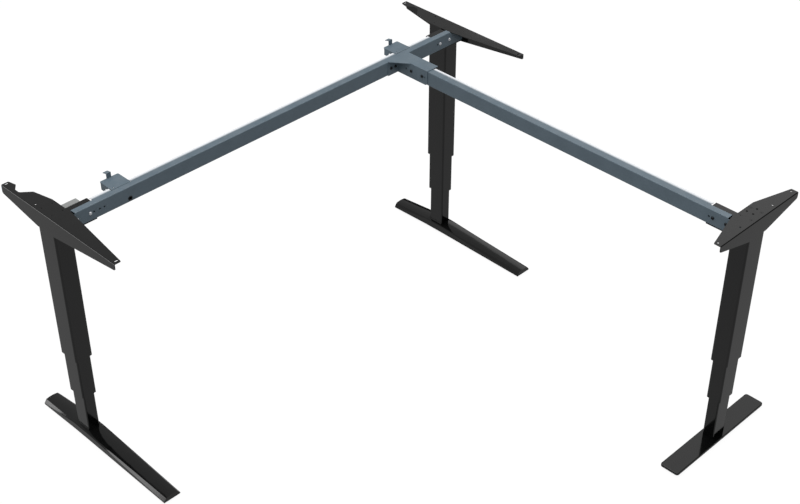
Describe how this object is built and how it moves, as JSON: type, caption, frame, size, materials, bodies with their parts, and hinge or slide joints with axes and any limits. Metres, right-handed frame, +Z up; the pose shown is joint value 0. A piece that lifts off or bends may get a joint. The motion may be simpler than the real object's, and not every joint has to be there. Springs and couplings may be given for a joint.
{
  "type": "height adjustable desk frame",
  "caption": "L-shaped height adjustable standing desk frame: telescopic legs on arched feet, joined by a main beam and a return beam, with tapered top brackets for a desktop.",
  "frame": {"origin": "on the floor, under the middle of the bounding box", "axes": "+X along the main beam from the left leg to the corner leg, +Y to the back, away from the return beam, +Z up"},
  "size_m": [1.665, 1.6534, 0.8765],
  "materials": {
    "black_paint": "satin black powder coat",
    "beam_paint": "blue-grey powder coat",
    "zinc": "bright zinc plate",
    "black_steel": "black oxide",
    "motor_steel": "grey cast housing",
    "ground_steel": "rolled screw steel",
    "white_plastic": "acetal",
    "box_plastic": "light grey moulded plastic",
    "board": "circuit board",
    "foot_plastic": "black rubber-faced foot"
  },
  "bodies": {
    "corner_foot": {"foot_corner": "black_paint", "inner_tube_corner": "black_paint", "lower_nut_corner": "white_plastic", "foot_screws_corner": "zinc"},
    "corner_middle": {"middle_tube_corner": "black_paint", "middle_glides_corner": "white_plastic", "spindle_bridge_corner": "white_plastic"},
    "top_frame": {"main_beam": "beam_paint", "return_beam": "beam_paint", "corner_bracket": "beam_paint", "hook_bracket_left": "beam_paint", "hook_bracket_corner": "beam_paint", "control_box": "box_plastic", "control_cover": "box_plastic", "control_board": "board", "beam_bolts": "zinc", "return_beam_bolts": "black_steel", "beam_nuts": "zinc", "bracket_screws": "black_steel", "motor_screws": "zinc", "tapping_screws": "black_steel", "upper_glides": "white_plastic", "top_bracket_left": "black_paint", "beam_arm_left": "black_paint", "upper_tube_left": "black_paint", "gear_motor_left": "motor_steel", "top_bracket_corner": "black_paint", "beam_arm_corner": "black_paint", "upper_tube_corner": "black_paint", "gear_motor_corner": "motor_steel", "top_bracket_right": "black_paint", "beam_arm_right": "black_paint", "upper_tube_right": "black_paint", "gear_motor_right": "motor_steel"},
    "left_middle": {"middle_tube_left": "black_paint", "middle_glides_left": "white_plastic", "spindle_bridge_left": "white_plastic"},
    "left_foot": {"foot_left": "black_paint", "inner_tube_left": "black_paint", "lower_nut_left": "white_plastic", "foot_screws_left": "zinc"},
    "right_middle": {"middle_tube_right": "black_paint", "middle_glides_right": "white_plastic", "spindle_bridge_right": "white_plastic"},
    "right_foot": {"foot_right": "black_paint", "inner_tube_right": "black_paint", "lower_nut_right": "white_plastic", "foot_screws_right": "zinc"},
    "left_upper_spindle": {"upper_spindle_left": "ground_steel"},
    "left_lower_spindle": {"lower_spindle_left": "ground_steel"},
    "left_back_leveller": {"leveller_left_back": "foot_plastic"},
    "left_front_leveller": {"leveller_left_front": "foot_plastic"},
    "corner_upper_spindle": {"upper_spindle_corner": "ground_steel"},
    "corner_lower_spindle": {"lower_spindle_corner": "ground_steel"},
    "corner_back_leveller": {"leveller_corner_back": "foot_plastic"},
    "corner_front_leveller": {"leveller_corner_front": "foot_plastic"},
    "right_upper_spindle": {"upper_spindle_right": "ground_steel"},
    "right_lower_spindle": {"lower_spindle_right": "ground_steel"},
    "right_back_leveller": {"leveller_right_back": "foot_plastic"},
    "right_front_leveller": {"leveller_right_front": "foot_plastic"}
  },
  "joints": [
    {"name": "corner_lower_lift", "type": "slide", "parent": "corner_foot", "child": "corner_middle", "axis": [0, 0, 1], "range_m": [-0.125, 0.175]},
    {"name": "corner_upper_lift", "type": "slide", "parent": "corner_middle", "child": "top_frame", "axis": [0, 0, 1], "range_m": [-0.125, 0.175]},
    {"name": "left_upper_lift", "type": "slide", "parent": "top_frame", "child": "left_middle", "axis": [0, 0, -1], "range_m": [-0.125, 0.175]},
    {"name": "left_lower_lift", "type": "slide", "parent": "left_middle", "child": "left_foot", "axis": [0, 0, -1], "range_m": [-0.125, 0.175]},
    {"name": "right_upper_lift", "type": "slide", "parent": "top_frame", "child": "right_middle", "axis": [0, 0, -1], "range_m": [-0.125, 0.175]},
    {"name": "right_lower_lift", "type": "slide", "parent": "right_middle", "child": "right_foot", "axis": [0, 0, -1], "range_m": [-0.125, 0.175]},
    {"name": "left_upper_spindle_turn", "type": "hinge", "parent": "top_frame", "child": "left_upper_spindle", "pos_m": [-0.8, 0.61675, 0.76], "axis": [0, 0, 1], "range_deg": [-4505, 6305]},
    {"name": "left_lower_spindle_turn", "type": "hinge", "parent": "left_middle", "child": "left_lower_spindle", "pos_m": [-0.8, 0.61675, 0.6], "axis": [0, 0, 1], "range_deg": [-4505, 6305]},
    {"name": "left_back_leveller_screw", "type": "slide", "parent": "left_foot", "child": "left_back_leveller", "axis": [0, 0, -1], "range_m": [0, 0.006]},
    {"name": "left_front_leveller_screw", "type": "slide", "parent": "left_foot", "child": "left_front_leveller", "axis": [0, 0, -1], "range_m": [0, 0.006]},
    {"name": "corner_upper_spindle_turn", "type": "hinge", "parent": "top_frame", "child": "corner_upper_spindle", "pos_m": [0.8, 0.61675, 0.76], "axis": [0, 0, 1], "range_deg": [-4505, 6305]},
    {"name": "corner_lower_spindle_turn", "type": "hinge", "parent": "corner_middle", "child": "corner_lower_spindle", "pos_m": [0.8, 0.61675, 0.6], "axis": [0, 0, 1], "range_deg": [-4505, 6305]},
    {"name": "corner_back_leveller_screw", "type": "slide", "parent": "corner_foot", "child": "corner_back_leveller", "axis": [0, 0, -1], "range_m": [0, 0.006]},
    {"name": "corner_front_leveller_screw", "type": "slide", "parent": "corner_foot", "child": "corner_front_leveller", "axis": [0, 0, -1], "range_m": [0, 0.006]},
    {"name": "right_upper_spindle_turn", "type": "hinge", "parent": "top_frame", "child": "right_upper_spindle", "pos_m": [0.58, -0.79325, 0.76], "axis": [0, 0, 1], "range_deg": [-4505, 6305]},
    {"name": "right_lower_spindle_turn", "type": "hinge", "parent": "right_middle", "child": "right_lower_spindle", "pos_m": [0.58, -0.79325, 0.6], "axis": [0, 0, 1], "range_deg": [-4505, 6305]},
    {"name": "right_back_leveller_screw", "type": "slide", "parent": "right_foot", "child": "right_back_leveller", "axis": [0, 0, -1], "range_m": [0, 0.004]},
    {"name": "right_front_leveller_screw", "type": "slide", "parent": "right_foot", "child": "right_front_leveller", "axis": [0, 0, -1], "range_m": [0, 0.004]}
  ],
  "couplings": [
    {"joint": "corner_upper_lift", "follows": "corner_lower_lift", "ratio": 1},
    {"joint": "left_upper_lift", "follows": "corner_lower_lift", "ratio": 1},
    {"joint": "left_lower_lift", "follows": "corner_lower_lift", "ratio": 1},
    {"joint": "right_upper_lift", "follows": "corner_lower_lift", "ratio": 1},
    {"joint": "right_lower_lift", "follows": "corner_lower_lift", "ratio": 1},
    {"joint": "left_upper_spindle_turn", "follows": "corner_lower_lift", "rad_per_m": 628.32},
    {"joint": "left_lower_spindle_turn", "follows": "corner_lower_lift", "rad_per_m": 628.32},
    {"joint": "corner_upper_spindle_turn", "follows": "corner_lower_lift", "rad_per_m": 628.32},
    {"joint": "corner_lower_spindle_turn", "follows": "corner_lower_lift", "rad_per_m": 628.32},
    {"joint": "right_upper_spindle_turn", "follows": "corner_lower_lift", "rad_per_m": 628.32},
    {"joint": "right_lower_spindle_turn", "follows": "corner_lower_lift", "rad_per_m": 628.32}
  ]
}
